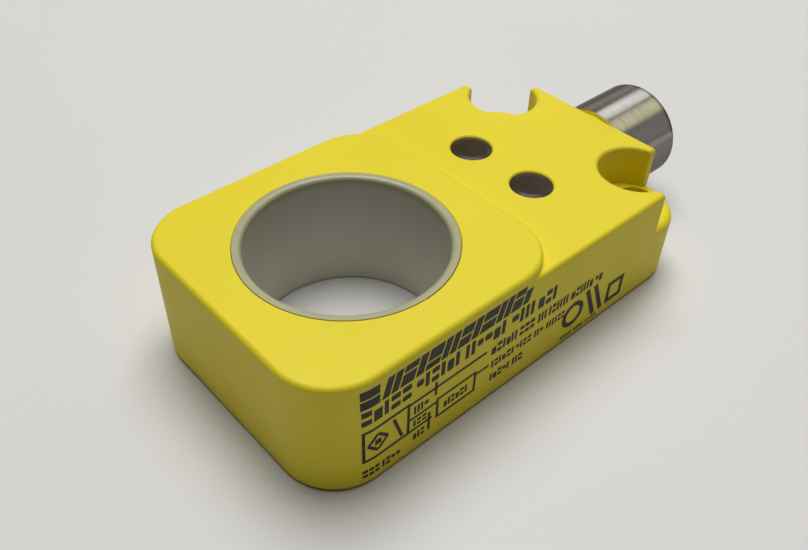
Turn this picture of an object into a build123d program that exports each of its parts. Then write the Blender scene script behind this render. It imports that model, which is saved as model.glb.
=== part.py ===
from build123d import *
import os

# Ring-type inductive sensor: a yellow moulded block with a grey-lined through bore,
# two screw seats in the rear corners and a round plug shell at the rear.
# Frame: origin on the axis of the bore at the underside, +Z up out of the bore,
# +X from the bore to the plug.  Millimetres.

# ---- driving dimensions -------------------------------------------------------
half_w = 15.0            # half of the block's width, and the bore to the front face
rear_x = 37.5            # rear face
front_h = 14.0           # height of the ring block
rear_h = 12.9            # height of the lower block behind it
front_r = 6.0            # plan radius of the ring block's four corners
rear_r = 5.0             # plan radius of the two rear corners
top_f = 0.55             # edge radius round the ring block's top
rear_f = 0.45            # edge radius round the rear block's top
base_f = 0.5             # edge radius round the underside
foot_f = 0.5             # hollow rounding where the ring block's back stands on the rear block
wall = 1.4               # moulded wall

bore_r = 10.0            # inside of the grey liner
liner_r = 10.9           # outside of the liner
liner_f = 0.5            # rounding of the liner's inner top edge
seat_hole_r = 10.95      # hole in the housing round the liner
seat_hole_f = 0.12       # rounding of that hole's top edge

seat_x, seat_y, seat_r = 32.45, 9.95, 4.1   # screw seat: a round pocket in each rear corner
mouth_x, mouth_y = 31.1, 9.1                # the corner beyond these two lines is cut away
tip_r = 0.25                                # rounding of the blunt walls beside the seats
ledge_z = 8.0                               # floor of the screw seats
ledge_f = 0.9                               # rounding of that floor's outer edge
screw_x, screw_y, screw_r = 33.95, 10.0, 2.3    # screw holes

lens_x, lens_y, lens_r = 21.5, 4.5, 2.3     # indicator windows

plug_z = 7.0             # axis of the plug
plug_r = 6.0             # M12 thread, major radius
plug_end = 47.5          # free end of the plug shell
plug_bore_r = 4.6
neck_r = 5.2             # part of the shell that is held in the rear wall
neck_x = 35.4
collar_r = 5.55          # moulded collar round the shell's foot, a little under the barrel's size
collar_x = 38.0
pin_off = 1.77           # four pins on a 5 mm circle
pin_r = 0.5

cover_t = 1.2            # plate that closes the underside
cav_half = half_w - wall
cav_rear_x = 26.6        # rear end of the wide part of the cavity
tongue_half = 4.2        # half-width of the cavity between the screw seats

board_z, board_t = 8.8, 1.0


def block(x0, x1, y0, y1, z0, z1):
    return Pos((x0 + x1) / 2, (y0 + y1) / 2, (z0 + z1) / 2) * Box(x1 - x0, y1 - y0, z1 - z0)


def rod_z(x, y, r, z0, z1):
    return Pos(x, y, (z0 + z1) / 2) * Cylinder(r, z1 - z0)


def rod_x(y, z, r, x0, x1):
    return Pos((x0 + x1) / 2, y, z) * Rot(0, 90, 0) * Cylinder(r, x1 - x0)


def ring_z(r0, r1, z0, z1):
    return rod_z(0, 0, r1, z0, z1) - rod_z(0, 0, r0, z0 - 1, z1 + 1)


def round_plan(x0, x1, half, radius, z0, z1):
    plan = Pos((x0 + x1) / 2, 0) * RectangleRounded(x1 - x0, 2 * half, radius)
    return Pos(0, 0, z0) * extrude(plan, z1 - z0)


def edges_at(part, z, tol=1e-4):
    return [e for e in part.edges()
            if abs(e.bounding_box().min.Z - z) < tol and abs(e.bounding_box().max.Z - z) < tol]


def one(shape):
    """The largest solid of a result."""
    solids = sorted(shape.solids(), key=lambda s: s.volume)
    return solids[-1]


# ---- housing ------------------------------------------------------------------
def seat_cutter(side):
    # a round pocket, with the corner quadrant beyond it open
    plan = Pos(seat_x, side * seat_y) * Circle(seat_r)
    plan += Pos((mouth_x + 45) / 2, side * (mouth_y + 25) / 2) * Rectangle(45 - mouth_x, 25 - mouth_y)
    return Pos(0, 0, ledge_z - 2) * extrude(plan, 14)


def foot():
    # hollow-rounded strip along the foot of the ring block's back wall
    low = rear_h - 0.3
    with BuildSketch(Plane.XZ) as section:
        with BuildLine():
            Polyline((half_w, rear_h + foot_f), (half_w - 0.6, rear_h + foot_f), (half_w - 0.6, low),
                     (half_w + foot_f, low), (half_w + foot_f, rear_h))
            RadiusArc((half_w + foot_f, rear_h), (half_w, rear_h + foot_f), 0.8)
        make_face()
    section = section.sketch
    straight = half_w - front_r - foot_f
    strip = extrude(section, straight, both=True)
    for side in (1, -1):
        strip += revolve(Pos(0, side * straight, 0) * section,
                         Axis((half_w - front_r, side * straight, 0), (0, 0, 1)), side * 75)
    return strip & block(5, 20, -(half_w - rear_f), half_w - rear_f, 0, front_h)


def cavity():
    front = round_plan(-cav_half, cav_half, cav_half, front_r - wall, 0, front_h - wall)
    rear = block(0, cav_rear_x, -cav_half, cav_half, 0, rear_h - wall)
    tongue = block(20, neck_x, -tongue_half, tongue_half, 0, rear_h - wall)
    return front + rear + tongue


ring_block = round_plan(-half_w, half_w, half_w, front_r, 0, front_h)
ring_block = fillet(edges_at(ring_block, front_h), top_f)

rear_top = round_plan(0, rear_x, half_w, rear_r, ledge_z - 1, rear_h)
for side in (1, -1):
    rear_top -= seat_cutter(side)
# the walls that each seat leaves at the corner end bluntly, with rounded edges
tips = [e for e in rear_top.edges() if e.geom_type == GeomType.LINE
        and e.center().X > 28 and e.bounding_box().size.Z > 4]
rear_top = fillet(tips, tip_r)
rear_top = fillet(edges_at(rear_top, rear_h), rear_f)
rear_low = round_plan(0, rear_x, half_w, rear_r, 0, ledge_z)
rear_low = fillet(edges_at(rear_low, ledge_z), ledge_f)

body = ring_block + rear_low + rear_top + foot()
body = fillet(edges_at(body, 0.0), base_f)
# the collar round the plug's foot
body += rod_x(0, plug_z, collar_r, rear_x - 0.2, collar_x)
body -= rod_z(0, 0, seat_hole_r, -1, 20)
body = fillet([e for e in edges_at(body, front_h) if e.geom_type == GeomType.CIRCLE
               and abs(e.radius - seat_hole_r) < 1e-3], seat_hole_f)
housing = body - cavity()
housing -= rod_x(0, plug_z, neck_r, neck_x - 0.5, collar_x + 1)
for side in (1, -1):
    housing -= rod_z(screw_x, side * screw_y, screw_r, -1, 10)
    housing -= rod_z(lens_x, side * lens_y, lens_r + 0.05, 10, 14)
    rim = [e for e in edges_at(housing, rear_h) if e.geom_type == GeomType.CIRCLE
           and abs(e.radius - lens_r - 0.05) < 1e-3
           and (e.arc_center.Y * side) > 0]
    housing = chamfer(rim, 0.15)
housing = one(housing)

# ---- grey liner, with a locating shoulder under the housing's top wall -----------
liner = ring_z(bore_r, liner_r, 0, front_h) + ring_z(liner_r - 0.3, 12.0, 11.9, front_h - wall)
liner = chamfer([e for e in edges_at(liner, 0.0) if abs(e.radius - bore_r) < 1e-3], 0.2)
liner = fillet([e for e in edges_at(liner, front_h) if abs(e.radius - bore_r) < 1e-3], liner_f)
ring_liner = one(liner)

# ---- plate that closes the underside ----------------------------------------------
gap = 0.05
plate = round_plan(-cav_half + gap, cav_half - gap, cav_half - gap, front_r - wall, 0, cover_t)
plate += block(0, cav_rear_x - gap, -cav_half + gap, cav_half - gap, 0, cover_t)
plate += block(20, neck_x - gap, -tongue_half + gap, tongue_half - gap, 0, cover_t)
base_cover = one(plate - rod_z(0, 0, liner_r, -1, 3))

# ---- coil set -----------------------------------------------------------------------
bobbin = ring_z(liner_r, 11.5, 1.5, 11.6)
bobbin += ring_z(11.4, 12.9, 1.5, 2.3) + ring_z(11.4, 12.9, 10.8, 11.6)
coil_bobbin = one(bobbin)
sensing_coil = one(ring_z(11.5, 12.7, 2.3, 10.8))
# the band has a gap, or it would be a shorted turn
shield_ring = one(ring_z(13.05, 13.35, 2.0, 11.0) - block(5, 20, -3, 3, 0, 13))

# ---- circuit board and what is on it --------------------------------------------------
board_top = board_z + board_t
board = Pos(0, 0, board_z) * extrude(
    Pos(20.25, 0) * RectangleRounded(11.9, 26.0, 0.8) + Pos(27.0, 0) * Rectangle(6.0, 7.2), board_t)
circuit_board = one(board)


def chip(x, y, length, width, height, top=True, legs=0, pitch=1.27):
    z0, z1 = (board_top, board_top + height) if top else (board_z - height, board_z)
    c = block(x - length / 2, x + length / 2, y - width / 2, y + width / 2, z0, z1)
    for i in range(legs):
        dx = (i - (legs - 1) / 2) * pitch
        for s in (1, -1):
            a, b = sorted((y + s * (width / 2 - 0.1), y + s * (width / 2 + 0.9)))
            zz = (board_top, board_top + 0.3) if top else (board_z - 0.3, board_z)
            c += block(x + dx - 0.2, x + dx + 0.2, a, b, *zz)
    return one(c)


controller_chip = chip(17.7, 0, 4.9, 3.9, 1.4, legs=4)
output_transistor = chip(22.8, -10.2, 4.5, 2.5, 1.4, legs=3, pitch=1.5)
voltage_regulator = chip(22.8, 10.2, 4.5, 2.5, 1.4, legs=3, pitch=1.5)
protection_diode = chip(19.4, -8.4, 4.3, 2.6, 2.1, top=False)
filter_capacitor = chip(19.4, 8.4, 3.5, 2.8, 1.9, top=False)
tank_capacitor = chip(16.6, 7.4, 1.6, 3.2, 1.25)
chip_resistors = Compound(children=[
    chip(16.6, y, 1.6, 0.8, 0.5) for y in (-6.0, -7.5, -9.0, -10.5)])
led_power = chip(lens_x, lens_y, 2.0, 1.25, 0.6)
led_output = chip(lens_x, -lens_y, 2.0, 1.25, 0.6)


# ---- indicator windows: a domed light guide with a shoulder under the wall ---------------
def lens(side):
    dome_r = 9.0
    rise = 0.28
    head = rod_z(0, 0, lens_r, rear_h - wall - 0.1, rear_h - 0.05)
    ball = Pos(0, 0, rear_h - 0.05 - dome_r + rise - 0.1) * Sphere(dome_r)
    head = head & ball
    stem = rod_z(0, 0, 1.0, board_top + 0.7, rear_h - wall - 0.5)
    shoulder = rod_z(0, 0, 2.8, rear_h - wall - 0.7, rear_h - wall)
    return one(Pos(lens_x, side * lens_y, 0) * (head + shoulder + stem))


lens_power = lens(1)
lens_output = lens(-1)

# ---- plug ------------------------------------------------------------------------------
shell = rod_x(0, plug_z, neck_r, neck_x, collar_x + 0.2) + rod_x(0, plug_z, plug_r, collar_x, plug_end)
shell = chamfer([e for e in shell.edges() if e.geom_type == GeomType.CIRCLE
                 and abs(e.radius - plug_r) < 1e-3 and abs(e.arc_center.X - plug_end) < 1e-3], 0.4)
shell -= rod_x(0, plug_z, plug_bore_r, neck_x - 1, plug_end + 1)
connector_shell = one(shell)

insert = rod_x(0, plug_z, plug_bore_r, neck_x, 39.8) + rod_x(0, plug_z, 4.0, 33.0, neck_x + 0.2)
sleeve = rod_x(0, plug_z, plug_bore_r, 39.6, 46.9) - rod_x(0, plug_z, 4.05, 39.8, 48)
# keyway rib that sets which way the mating plug goes in
rib = block(39.6, 46.4, -0.45, 0.45, plug_z + 3.45, plug_z + 4.2)
insert = insert + sleeve + rib
pins = []
for sy, sz in ((1, 1), (1, -1), (-1, -1), (-1, 1)):
    py, pz = sy * pin_off, plug_z + sz * pin_off
    insert -= rod_x(py, pz, pin_r, 30, 42)
    pin = rod_x(py, pz, pin_r, 31.4, 46.2)
    pin = fillet([e for e in pin.edges() if e.geom_type == GeomType.CIRCLE
                  and abs(e.arc_center.X - 46.2) < 1e-3], 0.35)
    pins.append(one(pin))
contact_carrier = one(insert)


# ---- wires --------------------------------------------------------------------------------
def wire(points, r):
    path = Spline(*[Vector(*p) for p in points])
    start = Plane(origin=path @ 0, z_dir=path % 0)
    return sweep(start * Circle(r), path=path)


pin_leads = []
for (sy, sz), (ex, ey) in zip(((1, 1), (1, -1), (-1, -1), (-1, 1)),
                              ((28.9, 2.6), (27.4, 0.9), (27.4, -0.9), (28.9, -2.6))):
    y0, z0 = sy * pin_off, plug_z + sz * pin_off
    if sz > 0:
        pts = [(31.4, y0, z0), (30.7, y0, z0 - 0.25), (29.6, (y0 + ey) / 2, 7.55), (ex, ey, board_z)]
    else:
        pts = [(31.4, y0, z0), (30.6, y0, z0), (28.6, (y0 + ey) / 2, 6.2), (ex, ey, board_z)]
    w = wire(pts, 0.3)
    w -= block(28, 34, -5, 5, board_z, 12) if sz > 0 else block(24, 34, -5, 5, board_z, 12)
    w -= rod_x(y0, z0, pin_r, 31.4, 33)
    w -= circuit_board
    pin_leads.append(one(w))

coil_leads = []
for side in (1, -1):
    w = wire([(12.4, side * 2.0, 7.0), (13.6, side * 2.0, 7.0), (14.9, side * 2.4, 7.5),
              (15.5, side * 2.6, board_z + 0.05)], 0.2)
    w -= rod_z(0, 0, 12.7, 2, 11)
    w -= circuit_board
    coil_leads.append(one(w))

# ---- resin that fills what is left inside ------------------------------------------------------
fill = cavity() & block(-20, 45, -20, 20, cover_t, 14)
fill -= rod_z(0, 0, liner_r, -1, 20)
inner = [ring_liner, coil_bobbin, sensing_coil, shield_ring, circuit_board, controller_chip,
         output_transistor, voltage_regulator, protection_diode, filter_capacitor, tank_capacitor,
         led_power, led_output, lens_power, lens_output, connector_shell, contact_carrier]
inner += list(chip_resistors.children) + pins + pin_leads + coil_leads
for piece in inner:
    fill = fill - piece
potting_compound = one(fill)

nodes = {
    "housing": housing,
    "ring_liner": ring_liner,
    "base_cover": base_cover,
    "coil_bobbin": coil_bobbin,
    "sensing_coil": sensing_coil,
    "shield_ring": shield_ring,
    "circuit_board": circuit_board,
    "controller_chip": controller_chip,
    "output_transistor": output_transistor,
    "voltage_regulator": voltage_regulator,
    "protection_diode": protection_diode,
    "filter_capacitor": filter_capacitor,
    "tank_capacitor": tank_capacitor,
    "chip_resistors": chip_resistors,
    "led_power": led_power,
    "led_output": led_output,
    "lens_power": lens_power,
    "lens_output": lens_output,
    "connector_shell": connector_shell,
    "contact_carrier": contact_carrier,
    "coil_lead_a": coil_leads[0],
    "coil_lead_b": coil_leads[1],
    "potting_compound": potting_compound,
}
for i in range(4):
    nodes["contact_pin_%d" % (i + 1)] = pins[i]
    nodes["pin_lead_%d" % (i + 1)] = pin_leads[i]

os.makedirs("parts", exist_ok=True)
for name, shape in nodes.items():
    shape.label = name
    export_step(shape, "parts/%s.step" % name)
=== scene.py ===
import math
import random

import bpy
import numpy as np
from mathutils import Matrix, Vector


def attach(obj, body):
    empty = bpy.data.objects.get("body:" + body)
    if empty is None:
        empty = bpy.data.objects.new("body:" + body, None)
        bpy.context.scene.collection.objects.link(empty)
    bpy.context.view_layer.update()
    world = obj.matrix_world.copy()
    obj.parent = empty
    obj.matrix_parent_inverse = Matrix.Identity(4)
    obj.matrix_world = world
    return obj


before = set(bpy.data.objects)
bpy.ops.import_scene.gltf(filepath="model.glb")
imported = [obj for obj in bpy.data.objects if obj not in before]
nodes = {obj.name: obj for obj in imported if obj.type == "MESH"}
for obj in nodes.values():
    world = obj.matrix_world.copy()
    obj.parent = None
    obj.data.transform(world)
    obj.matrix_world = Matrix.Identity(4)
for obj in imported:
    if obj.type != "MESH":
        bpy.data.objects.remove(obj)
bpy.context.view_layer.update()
MM = 0.001

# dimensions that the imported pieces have, in millimetres
HALF = 15.0
CORNER_R = 6.0


# ---- node helpers -----------------------------------------------------------------
class Mat:
    """A principled material with its node tree at hand."""

    def __init__(self, name):
        self.mat = bpy.data.materials.new(name)
        self.mat.use_nodes = True
        self.tree = self.mat.node_tree
        self.n = self.tree.nodes
        self.bsdf = self.n["Principled BSDF"]
        self.coord = self.n.new("ShaderNodeTexCoord")

    def link(self, a, b):
        self.tree.links.new(a, b)

    def mapping(self, scale=(1, 1, 1), rotation=(0, 0, 0), location=(0, 0, 0)):
        m = self.n.new("ShaderNodeMapping")
        m.inputs["Scale"].default_value = scale
        m.inputs["Rotation"].default_value = rotation
        m.inputs["Location"].default_value = location
        self.link(self.coord.outputs["Object"], m.inputs["Vector"])
        return m.outputs["Vector"]

    def noise(self, scale, detail=3.0, rough=0.5, vector=None, distortion=0.0):
        t = self.n.new("ShaderNodeTexNoise")
        t.inputs["Scale"].default_value = scale
        t.inputs["Detail"].default_value = detail
        t.inputs["Roughness"].default_value = rough
        t.inputs["Distortion"].default_value = distortion
        self.link(vector if vector is not None else self.coord.outputs["Object"], t.inputs["Vector"])
        return t.outputs["Fac"]

    def voronoi(self, scale, vector=None):
        t = self.n.new("ShaderNodeTexVoronoi")
        t.inputs["Scale"].default_value = scale
        self.link(vector if vector is not None else self.coord.outputs["Object"], t.inputs["Vector"])
        return t.outputs["Distance"]

    def ramp(self, fac, stops):
        r = self.n.new("ShaderNodeValToRGB")
        while len(r.color_ramp.elements) < len(stops):
            r.color_ramp.elements.new(0.5)
        for e, (p, c) in zip(r.color_ramp.elements, stops):
            e.position = p
            e.color = (c[0], c[1], c[2], 1.0) if hasattr(c, "__len__") else (c, c, c, 1.0)
        self.link(fac, r.inputs["Fac"])
        return r.outputs["Color"]

    def range(self, fac, lo, hi, from_lo=0.3, from_hi=0.7):
        m = self.n.new("ShaderNodeMapRange")
        m.inputs["From Min"].default_value = from_lo
        m.inputs["From Max"].default_value = from_hi
        m.inputs["To Min"].default_value = lo
        m.inputs["To Max"].default_value = hi
        self.link(fac, m.inputs["Value"])
        return m.outputs["Result"]

    def math(self, op, a, b):
        m = self.n.new("ShaderNodeMath")
        m.operation = op
        for i, v in enumerate((a, b)):
            if isinstance(v, (int, float)):
                m.inputs[i].default_value = v
            else:
                self.link(v, m.inputs[i])
        return m.outputs[0]

    def mix(self, fac, a, b):
        m = self.n.new("ShaderNodeMix")
        m.data_type = "RGBA"
        for sock, v in ((m.inputs[0], fac), (m.inputs[6], a), (m.inputs[7], b)):
            if isinstance(v, (int, float)):
                sock.default_value = v
            elif isinstance(v, tuple):
                sock.default_value = (v[0], v[1], v[2], 1.0)
            else:
                self.link(v, sock)
        return m.outputs[2]

    def colour(self, out):
        self.link(out, self.bsdf.inputs["Base Color"])

    def roughness(self, out):
        self.link(out, self.bsdf.inputs["Roughness"])

    def bump(self, *layers):
        """layers: (height socket, strength, distance in mm), stacked."""
        normal = None
        for height, strength, dist in layers:
            b = self.n.new("ShaderNodeBump")
            b.inputs["Strength"].default_value = strength
            b.inputs["Distance"].default_value = dist * MM
            self.link(height, b.inputs["Height"])
            if normal is not None:
                self.link(normal, b.inputs["Normal"])
            normal = b.outputs["Normal"]
        self.link(normal, self.bsdf.inputs["Normal"])

    def set(self, **values):
        names = {"metallic": "Metallic", "ior": "IOR", "specular": "Specular IOR Level",
                 "coat": "Coat Weight", "coat_rough": "Coat Roughness",
                 "transmission": "Transmission Weight", "subsurface": "Subsurface Weight",
                 "alpha": "Alpha"}
        for k, v in values.items():
            self.bsdf.inputs[names[k]].default_value = v
        return self


def shade(obj, mat):
    """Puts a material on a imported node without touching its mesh."""
    for s in obj.material_slots:
        s.link = "OBJECT"
        s.material = mat.mat


# ---- materials ----------------------------------------------------------------------
def yellow_plastic(name, tint=1.0):
    m = Mat(name)
    broad = m.noise(70.0, 3.0, 0.55)
    fine = m.noise(2400.0, 2.0, 0.6)
    base = m.ramp(broad, [(0.30, (0.775 * tint, 0.638 * tint, 0.008)), (0.70, (0.815 * tint, 0.676 * tint, 0.013))])
    speck = m.noise(900.0, 4.0, 0.7, distortion=0.4)
    mask = m.ramp(speck, [(0.70, 0.0), (0.78, 1.0)])
    base = m.mix(m.math("MULTIPLY", mask, 0.10), base, (0.55, 0.40, 0.01))
    m.colour(base)
    m.roughness(m.range(m.noise(380.0, 4.0, 0.6), 0.50, 0.60))
    m.bump((fine, 0.16, 0.03), (m.noise(260.0, 2.0), 0.10, 0.05))
    m.set(ior=1.5, specular=0.40)
    return m


def grey_plastic(name):
    m = Mat(name)
    broad = m.noise(90.0, 3.0, 0.5)
    bore_wall_painted_light = m.ramp(broad, [(0.30, (0.50, 0.49, 0.41)), (0.70, (0.55, 0.54, 0.455))])
    lip = m.ramp(broad, [(0.30, (0.385, 0.372, 0.215)), (0.70, (0.425, 0.412, 0.25))])
    # painted light: the bore wall, which lies in shade, is given a paler, greyer tone than the lip that faces up
    height = m.n.new("ShaderNodeSeparateXYZ")
    m.link(m.coord.outputs["Object"], height.inputs[0])
    m.colour(m.mix(m.range(height.outputs["Z"], 0.0, 1.0, 12.9 * MM, 13.55 * MM), bore_wall_painted_light, lip))
    # faint drawing lines along the bore from the mould core
    lines = m.noise(1800.0, 2.0, 0.5, vector=m.mapping(scale=(1.0, 1.0, 0.06)))
    m.roughness(m.range(m.noise(500.0, 3.0), 0.34, 0.44))
    m.bump((lines, 0.10, 0.02), (m.noise(3000.0, 2.0), 0.10, 0.02))
    m.set(ior=1.5, specular=0.5)
    return m


def smoked_lens(name):
    m = Mat(name)
    broad = m.noise(300.0, 3.0, 0.5)
    m.colour(m.ramp(broad, [(0.3, (0.038, 0.027, 0.016)), (0.7, (0.053, 0.039, 0.025))]))
    m.roughness(m.range(m.noise(1500.0, 3.0), 0.20, 0.32))
    m.bump((m.noise(1600.0, 2.0), 0.06, 0.02))
    m.set(ior=1.5, specular=0.16)
    return m


def nickel(name):
    """Turned and plated: fine marks that run round the barrel."""
    m = Mat(name)
    turned = m.noise(1400.0, 3.0, 0.6, vector=m.mapping(scale=(2.2, 0.10, 0.10)))
    cloud = m.noise(220.0, 3.0)
    bright = m.ramp(cloud, [(0.3, (0.58, 0.56, 0.51)), (0.7, (0.66, 0.64, 0.60))])
    # painted dark reflection: the plating colour is darkened where the barrel's surface turns away from view
    weight = m.n.new("ShaderNodeLayerWeight")
    weight.inputs["Blend"].default_value = 0.5
    painted_grazing_shade = m.ramp(weight.outputs["Facing"], [(0.48, 0.0), (0.80, 0.80)])
    # painted shade: the colour is also darkened along its rim and over its lower half, standing in for dark reflections
    # there
    place = m.n.new("ShaderNodeSeparateXYZ")
    m.link(m.coord.outputs["Object"], place.inputs[0])
    painted_rim_shade = m.range(place.outputs["X"], 0.0, 0.74, 46.5 * MM, 46.95 * MM)
    low = m.range(place.outputs["Z"], 0.72, 0.0, 8.7 * MM, 9.9 * MM)
    # dark joins the three painted-shade masks; the dark colour mixed in below is painted shade and painted reflection,
    # not a tint of the plating
    dark = m.math("MAXIMUM", m.math("MAXIMUM", painted_grazing_shade, painted_rim_shade), low)
    m.colour(m.mix(dark, bright, (0.085, 0.080, 0.090)))
    m.roughness(m.range(turned, 0.19, 0.27))
    m.bump((turned, 0.06, 0.010), (m.noise(3600.0, 2.0), 0.06, 0.006))
    m.bsdf.inputs["Specular Tint"].default_value = (0.45, 0.44, 0.46, 1.0)
    m.set(metallic=1.0)
    return m


def plain_metal(name, dark, light, rough=(0.22, 0.34), scale=600.0):
    m = Mat(name)
    m.colour(m.ramp(m.noise(scale, 3.0), [(0.3, dark), (0.7, light)]))
    m.roughness(m.range(m.noise(scale * 2.5, 3.0), *rough))
    m.bump((m.noise(scale * 4, 2.0), 0.10, 0.02))
    m.set(metallic=1.0)
    return m


def plain_solid(name, dark, light, rough=(0.4, 0.55), scale=500.0, grain=2600.0, bump=0.14, specular=0.5):
    m = Mat(name)
    m.colour(m.ramp(m.noise(scale, 3.0), [(0.3, dark), (0.7, light)]))
    m.roughness(m.range(m.noise(scale * 2.0, 3.0), *rough))
    m.bump((m.noise(grain, 3.0), bump, 0.03))
    m.set(specular=specular)
    return m


def winding(name):
    """Enamelled wire laid turn on turn: fine ridges round the ring."""
    m = Mat(name)
    w = m.n.new("ShaderNodeTexWave")
    w.wave_type = "BANDS"
    w.bands_direction = "Z"
    w.inputs["Scale"].default_value = 1100.0
    w.inputs["Distortion"].default_value = 0.6
    m.link(m.coord.outputs["Object"], w.inputs["Vector"])
    m.colour(m.ramp(w.outputs["Fac"], [(0.1, (0.22, 0.07, 0.03)), (0.8, (0.62, 0.25, 0.11))]))
    m.roughness(m.range(m.noise(800.0), 0.25, 0.38))
    m.bump((w.outputs["Fac"], 0.6, 0.08))
    m.set(metallic=1.0)
    return m


yellow = yellow_plastic("yellow_moulding")
yellow_base = yellow_plastic("yellow_plate", 0.96)
liner_mat = grey_plastic("grey_liner")
lens_mat = smoked_lens("smoked_window")
nickel_mat = nickel("nickel_plating")
black_mat = plain_solid("black_insert", (0.010, 0.010, 0.011), (0.020, 0.020, 0.021), rough=(0.38, 0.5))
gold_mat = plain_metal("gold_plating", (0.78, 0.50, 0.14), (0.90, 0.62, 0.22))
ink_mat = Mat("black_ink")
ink_tone = ink_mat.ramp(ink_mat.noise(2600.0, 4.0, 0.7), [(0.35, (0.012, 0.010, 0.009)), (0.75, (0.040, 0.033, 0.018))])
ink_mat.colour(ink_tone)
ink_mat.roughness(ink_mat.range(ink_mat.noise(1800.0, 3.0), 0.42, 0.60))
ink_mat.bump((ink_mat.noise(5200.0, 2.0), 0.25, 0.02))
ink_mat.set(specular=0.28)

shade(nodes["housing"], yellow)
shade(nodes["base_cover"], yellow_base)
shade(nodes["ring_liner"], liner_mat)
for n in ("lens_power", "lens_output"):
    shade(nodes[n], lens_mat)
shade(nodes["connector_shell"], nickel_mat)
shade(nodes["contact_carrier"], black_mat)
for i in range(1, 5):
    shade(nodes["contact_pin_%d" % i], gold_mat)
shade(nodes["coil_bobbin"], plain_solid("bobbin_plastic", (0.60, 0.57, 0.48), (0.70, 0.67, 0.58)))
shade(nodes["sensing_coil"], winding("copper_winding"))
shade(nodes["shield_ring"], plain_metal("copper_strip", (0.62, 0.28, 0.14), (0.76, 0.38, 0.20)))
shade(nodes["circuit_board"], plain_solid("solder_mask", (0.012, 0.085, 0.030), (0.020, 0.13, 0.045), rough=(0.25, 0.4), scale=700.0))
chip_mat = plain_solid("mould_compound", (0.014, 0.014, 0.014), (0.028, 0.028, 0.028), rough=(0.5, 0.65))
for n in ("controller_chip", "output_transistor", "voltage_regulator", "protection_diode"):
    shade(nodes[n], chip_mat)
cap_mat = plain_solid("capacitor_ceramic", (0.40, 0.27, 0.15), (0.52, 0.36, 0.22))
for n in ("filter_capacitor", "tank_capacitor"):
    shade(nodes[n], cap_mat)
shade(nodes["chip_resistors"], plain_solid("resistor_film", (0.02, 0.02, 0.024), (0.04, 0.04, 0.046)))
led_mat = plain_solid("led_epoxy", (0.55, 0.54, 0.42), (0.68, 0.67, 0.55), rough=(0.2, 0.3))
for n in ("led_power", "led_output"):
    shade(nodes[n], led_mat)
wire_mats = [plain_solid("wire_sleeve_%s" % k, d, l, rough=(0.35, 0.45)) for k, d, l in (
    ("brown", (0.10, 0.04, 0.015), (0.15, 0.06, 0.025)), ("white", (0.66, 0.65, 0.60), (0.76, 0.75, 0.70)),
    ("blue", (0.02, 0.07, 0.28), (0.03, 0.10, 0.36)), ("black", (0.012, 0.012, 0.012), (0.024, 0.024, 0.024)))]
for i in range(1, 5):
    shade(nodes["pin_lead_%d" % i], wire_mats[i - 1])
for n in ("coil_lead_a", "coil_lead_b"):
    shade(nodes[n], plain_metal("enamelled_wire_" + n[-1], (0.55, 0.22, 0.10), (0.66, 0.30, 0.14)))
shade(nodes["potting_compound"], plain_solid("cast_resin", (0.016, 0.016, 0.019), (0.03, 0.03, 0.035), rough=(0.3, 0.5), scale=200.0))


# ---- mesh helper -------------------------------------------------------------------------
def make_mesh(name, verts, faces, mat, smooth=True, angle=35.0):
    me = bpy.data.meshes.new(name)
    me.from_pydata([tuple(v) for v in verts], [], [tuple(f) for f in faces])
    me.validate()
    me.update()
    obj = bpy.data.objects.new(name, me)
    bpy.context.scene.collection.objects.link(obj)
    me.materials.append(mat.mat)
    if smooth:
        for p in me.polygons:
            p.use_smooth = True
        edges_sharp(me, angle)
    return obj


def edges_sharp(me, angle):
    import bmesh
    bm = bmesh.new()
    bm.from_mesh(me)
    lim = math.radians(angle)
    for e in bm.edges:
        if len(e.link_faces) == 2 and e.calc_face_angle(0.0) > lim:
            e.smooth = False
    bmesh.ops.recalc_face_normals(bm, faces=bm.faces)
    bm.to_mesh(me)
    bm.free()


# ---- print on the long side: plain bars, frames and dashes ---------------------------------------
def wall_point(x, z, lift):
    """A point on the long side's wall, which turns into the front corner below x = -9."""
    cx = -(HALF - CORNER_R)
    if x >= cx:
        return (x * MM, -(HALF + lift) * MM, z * MM)
    # arc length round the corner equals the flat distance
    a = (cx - x) / CORNER_R
    r = CORNER_R + lift
    return ((cx - r * math.sin(a)) * MM, (-(HALF - CORNER_R) - r * math.cos(a)) * MM, z * MM)


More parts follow.
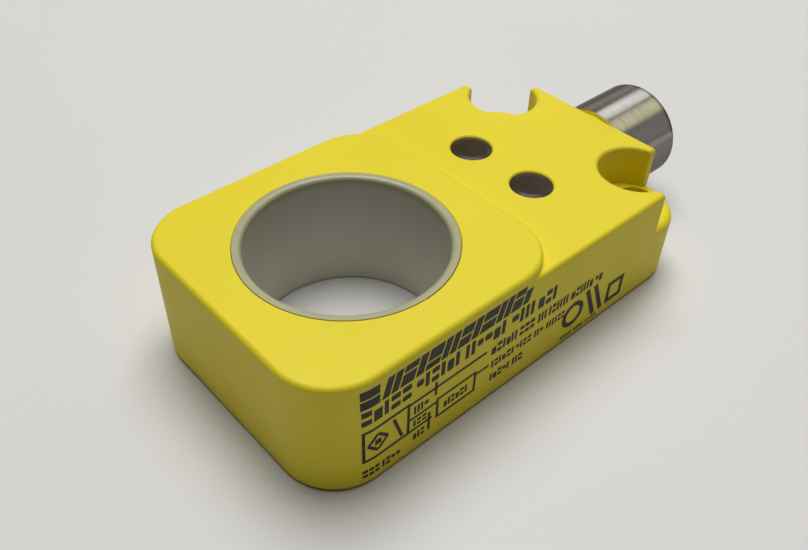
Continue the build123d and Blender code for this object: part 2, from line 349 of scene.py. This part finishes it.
class Print:
    def __init__(self):
        self.v = []
        self.f = []

    def poly(self, pts):
        """A thin raised pad with this outline (x, z), counter-clockwise as seen from outside."""
        n = len(pts)
        b = len(self.v)
        self.v += [wall_point(x, z, 0.018) for x, z in pts]
        self.v += [wall_point(x, z, -0.02) for x, z in pts]
        self.f.append(tuple(range(b, b + n)))
        self.f.append(tuple(range(b + 2 * n - 1, b + n - 1, -1)))
        for i in range(n):
            j = (i + 1) % n
            self.f.append((b + i, b + n + i, b + n + j, b + j))

    def strip(self, low, high):
        """A pad between two rows of points, in short pieces that follow the wall round the corner."""
        n = len(low)
        o = len(self.v)
        i = o + 2 * n
        for lift in (0.018, -0.02):
            self.v += [wall_point(x, z, lift) for x, z in low + high]
        for k in range(n - 1):
            self.f.append((o + k, o + k + 1, o + n + k + 1, o + n + k))
            self.f.append((i + k, i + n + k, i + n + k + 1, i + k + 1))
            self.f.append((o + k, i + k, i + k + 1, o + k + 1))
            self.f.append((o + n + k, o + n + k + 1, i + n + k + 1, i + n + k))
        self.f.append((o, o + n, i + n, i))
        self.f.append((o + n - 1, i + n - 1, i + 2 * n - 1, o + 2 * n - 1))

    def bar(self, x0, z0, x1, z1, slant=0.0, corner=0.0):
        if x0 < -(HALF - CORNER_R) and x1 - x0 > 0.3:
            n = int(math.ceil((x1 - x0) / 0.25))
            xs = [x0 + (x1 - x0) * i / n for i in range(n + 1)]
            self.strip([(x, z0) for x in xs], [(x + slant * (z1 - z0), z1) for x in xs])
            return
        s = slant * (z1 - z0)
        if corner <= 0:
            self.poly([(x0, z0), (x1, z0), (x1 + s, z1), (x0 + s, z1)])
            return
        c = min(corner, (x1 - x0) / 2.2, (z1 - z0) / 2.2)
        pts = []
        for (cx, cz, a0) in ((x0 + c, z0 + c, 180), (x1 - c, z0 + c, 270), (x1 - c, z1 - c, 0), (x0 + c, z1 - c, 90)):
            for k in range(4):
                a = math.radians(a0 + 30 * k)
                pz = cz + c * math.sin(a)
                pts.append((cx + c * math.cos(a) + slant * (pz - z0), pz))
        self.poly(pts)

    def frame(self, x0, z0, x1, z1, t):
        self.bar(x0, z0, x1, z0 + t)
        self.bar(x0, z1 - t, x1, z1)
        self.bar(x0, z0 + t, x0 + t, z1 - t)
        self.bar(x1 - t, z0 + t, x1, z1 - t)

    def line(self, xa, za, xb, zb, t):
        d = math.hypot(xb - xa, zb - za)
        nx, nz = -(zb - za) / d * t / 2, (xb - xa) / d * t / 2
        n = int(math.ceil(d / 0.25)) if min(xa, xb) < -(HALF - CORNER_R) else 1
        mid = [(xa + (xb - xa) * i / n, za + (zb - za) * i / n) for i in range(n + 1)]
        self.strip([(x - nx, z - nz) for x, z in mid], [(x + nx, z + nz) for x, z in mid])

    def ring(self, cx, cz, r, t, n=20):
        """Four quarter rings."""
        for q in range(4):
            out, inn = [], []
            for k in range(n // 4 + 1):
                a = math.radians(90 * q + 90.0 * k / (n // 4))
                out.append((cx + r * math.cos(a), cz + r * math.sin(a)))
                inn.append((cx + (r - t) * math.cos(a), cz + (r - t) * math.sin(a)))
            self.poly(out + inn[::-1])

    def blocks(self, x0, x1, z0, h, widths, gap, slant, split):
        """Heavy slanted blocks; some are parted by a gap across them."""
        x = x0
        for i, w in enumerate(widths):
            if x + w > x1 + 1e-6:
                break
            kind = split[i % len(split)]
            lean = slant if x > -(HALF - CORNER_R) else 0.0
            if kind == 0:
                self.bar(x, z0, x + w, z0 + h, slant=lean)
            else:
                part = h * kind
                self.bar(x, z0, x + w, z0 + part - 0.11, slant=lean)
                self.bar(x + lean * (part + 0.11), z0 + part + 0.11, x + w + lean * (part + 0.11), z0 + h, slant=lean)
            x += w + gap

    def strokes(self, x0, x1, z0, h, seed, thick, rise=0.0):
        """A row of upright bars, short pads and level bars, in groups."""
        rnd = random.Random(seed)
        x = x0
        while x < x1 - thick:
            for _ in range(rnd.randint(3, 6)):
                if x > x1 - thick:
                    break
                kind = rnd.random()
                z = z0 + rise * (x - x0)
                if kind < 0.45:
                    self.bar(x, z, x + thick, z + h)
                    x += thick + thick * 0.60
                elif kind < 0.75:
                    w = thick * rnd.uniform(1.7, 2.3)
                    self.bar(x, z, x + w, z + h * 0.36, corner=thick * 0.3)
                    self.bar(x, z + h * 0.62, x + w, z + h, corner=thick * 0.3)
                    x += w + thick * 0.5
                else:
                    w = thick * rnd.uniform(1.5, 2.1)
                    self.bar(x, z + (h * 0.36 if rnd.random() < 0.5 else 0.0), x + w, z + h * 0.80, corner=thick * 0.4)
                    x += w + thick * 0.5
            x += thick * rnd.uniform(0.7, 1.3)


ink = Print()
# a heavy row of slanted blocks along the top
ink.blocks(-10.7, 8.7, 10.6, 2.3, (2.0, 0.8, 0.8, 1.6, 0.9, 1.7, 0.8, 0.8, 1.5, 0.9, 1.9, 0.8, 0.8, 1.4, 0.9, 0.8), 0.20, 0.30,
           (0.5, 0, 0, 0.62, 0, 0.36, 0, 0, 0.5, 0))
# its last block is lower, to stay clear of the rounded edge
ink.bar(8.8, 10.6, 9.7, 12.3, slant=0.30)
# a bold row
ink.strokes(-10.6, 14.8, 8.45, 1.8, 5, 0.47)
# a framed symbol, and lines that run from it to a second frame
ink.frame(-10.6, 3.3, -5.2, 7.6, 0.32)
for xa, za, xb, zb in ((-10.0, 5.4, -8.9, 6.5), (-8.9, 6.5, -7.8, 5.4), (-7.8, 5.4, -8.9, 4.3), (-8.9, 4.3, -10.0, 5.4)):
    ink.line(xa, za, xb, zb, 0.34)
ink.bar(-9.25, 5.05, -8.55, 5.75)
ink.line(-7.1, 6.9, -6.1, 3.8, 0.34)
ink.bar(-5.2, 7.15, 4.5, 7.45)
ink.bar(-5.2, 5.0, -1.9, 5.28)
ink.bar(3.3, 5.0, 5.0, 5.28)
ink.bar(-5.2, 3.3, -2.4, 3.6)
ink.frame(-1.9, 2.8, 3.3, 5.6, 0.30)
ink.bar(-2.2, 6.3, -1.9, 8.1)
ink.bar(-2.9, 1.9, -2.6, 4.4)
ink.strokes(-4.7, -2.9, 5.6, 1.05, 21, 0.26)
ink.strokes(-4.7, -3.1, 3.85, 0.85, 22, 0.26)
ink.strokes(-4.7, -3.2, 1.9, 0.95, 23, 0.26)
ink.strokes(-0.9, 2.6, 3.6, 1.0, 24, 0.26)
# small rows at the right
ink.strokes(5.2, 21.8, 6.35, 1.25, 11, 0.30)
ink.strokes(5.4, 16.2, 4.45, 0.95, 12, 0.27)
ink.strokes(5.4, 10.4, 2.55, 1.0, 13, 0.27)
ink.strokes(-10.6, -6.4, 1.15, 1.0, 14, 0.27)
# plain marks near the rear: a ring, slanted bars and a frame
ink.ring(17.8, 3.8, 1.7, 0.60, n=32)
ink.line(19.8, 5.9, 21.6, 1.5, 0.62)
ink.line(21.1, 5.9, 22.9, 1.5, 0.62)
ink.frame(23.6, 1.6, 26.4, 4.6, 0.56)
ink.strokes(16.4, 22.6, 0.75, 0.5, 15, 0.22)
side_print = make_mesh("side_print", ink.v, ink.f, ink_mat, smooth=False)
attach(side_print, "root")

# ---- stage ----------------------------------------------------------------------------------------
floor_mat = Mat("studio_floor")
floor_mat.colour(floor_mat.ramp(floor_mat.noise(6.0, 3.0), [(0.3, (0.70, 0.69, 0.67)), (0.7, (0.72, 0.71, 0.69))]))
floor_mat.roughness(floor_mat.range(floor_mat.noise(40.0), 0.55, 0.65))
floor_mat.set(specular=0.2)
s = 1.5
floor = make_mesh("studio_floor", [(-s, -s, 0), (s, -s, 0), (s, s, 0), (-s, s, 0)], [(0, 1, 2, 3)], floor_mat, smooth=False)

world = bpy.data.worlds.new("studio")
bpy.context.scene.world = world
world.use_nodes = True
world.node_tree.nodes["Background"].inputs[0].default_value = (1.0, 1.0, 1.0, 1.0)
world.node_tree.nodes["Background"].inputs[1].default_value = 0.04


def area(name, loc, target, size, power, size_y=None, colour=(1, 1, 1)):
    l = bpy.data.lights.new(name, "AREA")
    l.energy = power
    l.color = colour
    l.size = size
    if size_y:
        l.shape = "RECTANGLE"
        l.size_y = size_y
    o = bpy.data.objects.new(name, l)
    bpy.context.scene.collection.objects.link(o)
    o.location = loc
    d = Vector(target) - Vector(loc)
    o.rotation_euler = d.to_track_quat("-Z", "Y").to_euler()
    return o


area("key_softbox", (0.11, 0.13, 0.65), (0.01, 0.0, 0.0), 0.46, 4.6)
# low panels that the metal barrel mirrors, too weak to light the block much
area("panel_white", (0.605, 0.23, 0.44), (0.04, 0.0, 0.01), 0.26, 0.195, size_y=0.20)
area("panel_beige", (0.605, -0.127, 0.483), (0.04, 0.0, 0.01), 0.32, 0.165, size_y=0.20, colour=(1.0, 0.97, 0.66))
area("panel_side", (0.60, -0.435, 0.24), (0.04, 0.0, 0.01), 0.30, 0.068, size_y=0.38, colour=(1.0, 0.94, 0.97))
area("panel_back", (0.59, 0.49, 0.16), (0.04, 0.0, 0.01), 0.30, 0.135, size_y=0.25, colour=(1.0, 0.97, 0.78))

# ---- camera -----------------------------------------------------------------------------------------
az, el, roll = math.radians(-43.0185), math.radians(42.1066), math.radians(1.6872)
back = Vector((math.sin(az) * math.cos(el), -math.cos(az) * math.cos(el), math.sin(el)))
fw = -back
right = fw.cross(Vector((0, 0, 1))).normalized()
up = right.cross(fw)
right, up = (right * math.cos(roll) + up * math.sin(roll), up * math.cos(roll) - right * math.sin(roll))
cam_data = bpy.data.cameras.new("camera")
cam = bpy.data.objects.new("camera", cam_data)
bpy.context.scene.collection.objects.link(cam)
rot = Matrix((right, up, back)).transposed()
cam.matrix_world = Matrix.Translation(Vector((-38.4539, -49.3322, 65.9387)) * MM) @ rot.to_4x4()
cam_data.sensor_fit = "HORIZONTAL"
cam_data.sensor_width = 36.0
cam_data.lens = 850.3221 * 36.0 / 808.0
cam_data.clip_start = 0.002
cam_data.clip_end = 20.0
bpy.context.scene.camera = cam
bpy.context.scene.view_settings.view_transform = "Standard"
